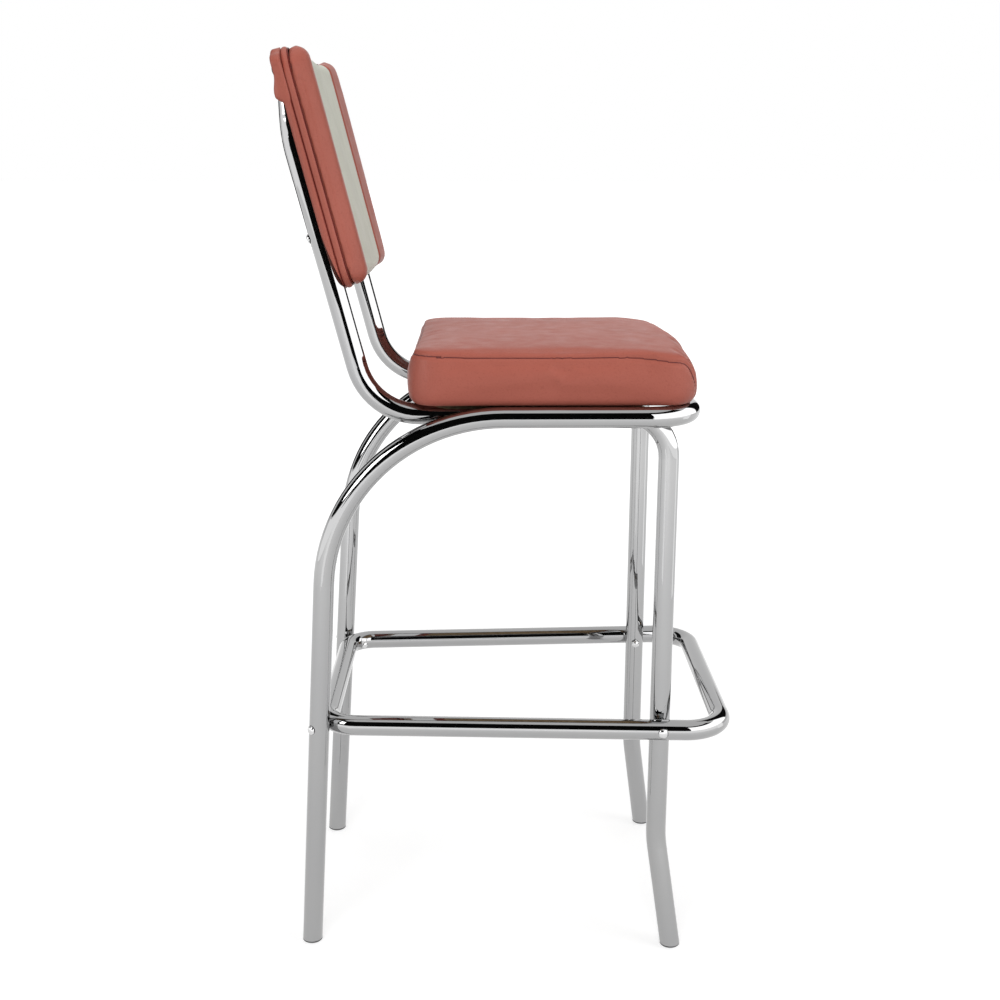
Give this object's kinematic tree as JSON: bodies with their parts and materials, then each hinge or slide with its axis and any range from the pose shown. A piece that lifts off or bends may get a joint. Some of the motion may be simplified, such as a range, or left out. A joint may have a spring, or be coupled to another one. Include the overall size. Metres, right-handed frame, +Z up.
{
  "type": "diner counter stool",
  "caption": "Bar-height diner stool in bent chrome tube with a padded back, a waterfall seat cushion and a closed footrest ring.",
  "frame": {"origin": "on the floor, centred under the stool's overall footprint", "axes": "+Z up, -Y the way the sitter faces, +X to the sitter's left"},
  "size_m": [0.3874, 0.5498, 1.1138],
  "materials": {
    "chrome_tube": "bright plated bent tube",
    "glide_chrome": "pressed and plated",
    "bush_plastic": "moulded black nylon",
    "plywood": "raw plywood",
    "vinyl_seat": "grained red vinyl over foam",
    "vinyl_band": "grained red vinyl",
    "vinyl_front": "grained red vinyl over foam, with a pale centre stripe",
    "vinyl_rear": "grained red vinyl over thin foam",
    "zinc_steel": "zinc plated",
    "bolt_chrome": "plated screw heads and cap nuts"
  },
  "bodies": {
    "root": {"side_frame_left": "chrome_tube", "side_frame_right": "chrome_tube", "rear_frame": "chrome_tube", "footrest_ring": "chrome_tube", "glide_front_left": "glide_chrome", "glide_front_right": "glide_chrome", "glide_rear_left": "glide_chrome", "glide_rear_right": "glide_chrome", "glide_bush_front_left": "bush_plastic", "glide_bush_front_right": "bush_plastic", "glide_bush_rear_left": "bush_plastic", "glide_bush_rear_right": "bush_plastic", "seat_board": "plywood", "seat_cushion": "vinyl_seat", "seat_screws": "zinc_steel", "seat_tee_nuts": "zinc_steel", "rail_screws": "zinc_steel", "footrest_bolts_front": "bolt_chrome", "footrest_bolts_rear": "bolt_chrome", "footrest_nuts_front": "bolt_chrome", "footrest_nuts_rear": "bolt_chrome", "back_board": "plywood", "back_band": "vinyl_band", "back_cushion_front": "vinyl_front", "back_panel_rear": "vinyl_rear", "back_bolts": "bolt_chrome", "back_top_screws": "bolt_chrome", "back_tee_nuts": "zinc_steel"}
  },
  "joints": []
}
